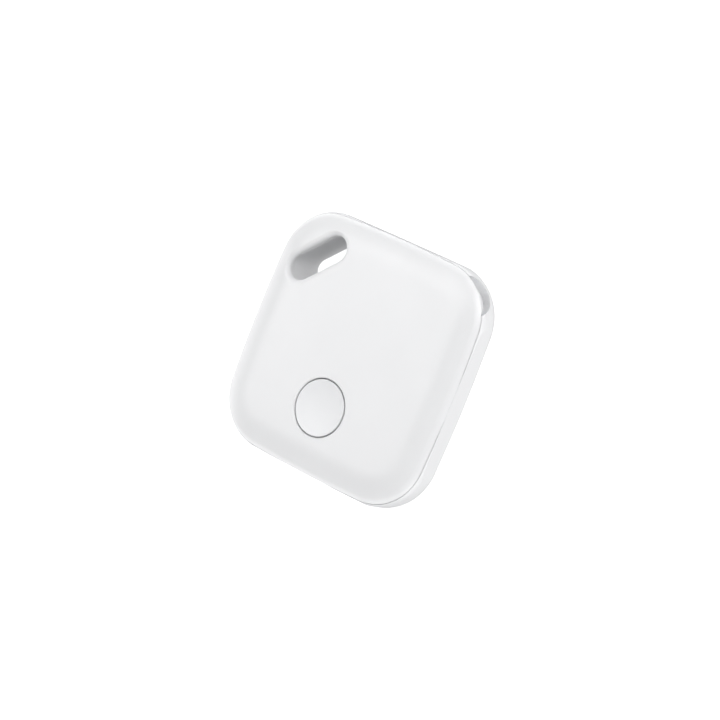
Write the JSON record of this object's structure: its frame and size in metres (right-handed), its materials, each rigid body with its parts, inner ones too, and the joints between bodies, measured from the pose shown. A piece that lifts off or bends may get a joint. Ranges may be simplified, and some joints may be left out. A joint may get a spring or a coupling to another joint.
{
  "type": "key tracker tag",
  "caption": "Rounded square key tracker tag with a corner slot for a key ring, a round push button and a pry notch; opens to a coin cell and a radio board.",
  "frame": {"origin": "middle of the flat rear face, which the tag lies on", "axes": "+Z out of the front face, +Y from the middle to the corner with the key slot, +X to the corner with the pry notch"},
  "size_m": [0.046, 0.046, 0.0076],
  "materials": {
    "shell_white": "gloss",
    "button_white": "satin",
    "black_plastic": "matte",
    "silicone_grey": "matte",
    "steel": "brushed",
    "bronze": "satin",
    "board_green": "satin",
    "chip_black": "matte",
    "ceramic_white": "matte",
    "capacitor_tan": "matte",
    "ferrite_grey": "matte",
    "cathode_black": "matte"
  },
  "bodies": {
    "root": {"rear_shell": "shell_white", "case_seal": "silicone_grey", "battery_holder": "black_plastic", "piezo_adhesive": "silicone_grey", "piezo_plate": "bronze", "piezo_ceramic": "ceramic_white"},
    "cover": {"front_shell": "shell_white", "circuit_board": "board_green", "radio_chip": "chip_black", "motion_sensor": "chip_black", "main_crystal": "steel", "sleep_crystal": "steel", "chip_antenna": "ceramic_white", "chip_capacitors": "capacitor_tan", "chip_resistors": "chip_black", "chip_inductors": "ferrite_grey", "negative_contact": "bronze", "positive_contact": "bronze", "piezo_springs": "bronze", "switch_housing": "black_plastic", "switch_dome": "steel", "switch_frame": "steel", "button_seal": "silicone_grey"},
    "cell": {"coin_cell_can": "steel", "coin_cell_core": "cathode_black", "coin_cell_gasket": "silicone_grey", "coin_cell_cap": "steel"},
    "button": {"button_cap": "button_white"},
    "plunger": {"switch_plunger": "black_plastic"}
  },
  "joints": [
    {"name": "cover_lift", "type": "slide", "parent": "root", "child": "cover", "axis": [0, 0, 1], "range_m": [0, 0.02]},
    {"name": "cell_lift", "type": "slide", "parent": "root", "child": "cell", "axis": [0, 0, 1], "range_m": [0, 0.008]},
    {"name": "button_press", "type": "slide", "parent": "cover", "child": "button", "axis": [0, 0, -1], "range_m": [0, 0.0002], "stiffness_N_per_m": 1000, "deforming": ["button_seal"]},
    {"name": "plunger_press", "type": "slide", "parent": "cover", "child": "plunger", "axis": [0, 0, -1], "range_m": [0, 0.0002], "deforming": ["switch_dome"]}
  ],
  "couplings": [
    {"joint": "cell_lift", "follows": "cover_lift", "ratio": 0.4},
    {"joint": "plunger_press", "follows": "button_press", "ratio": 1}
  ]
}
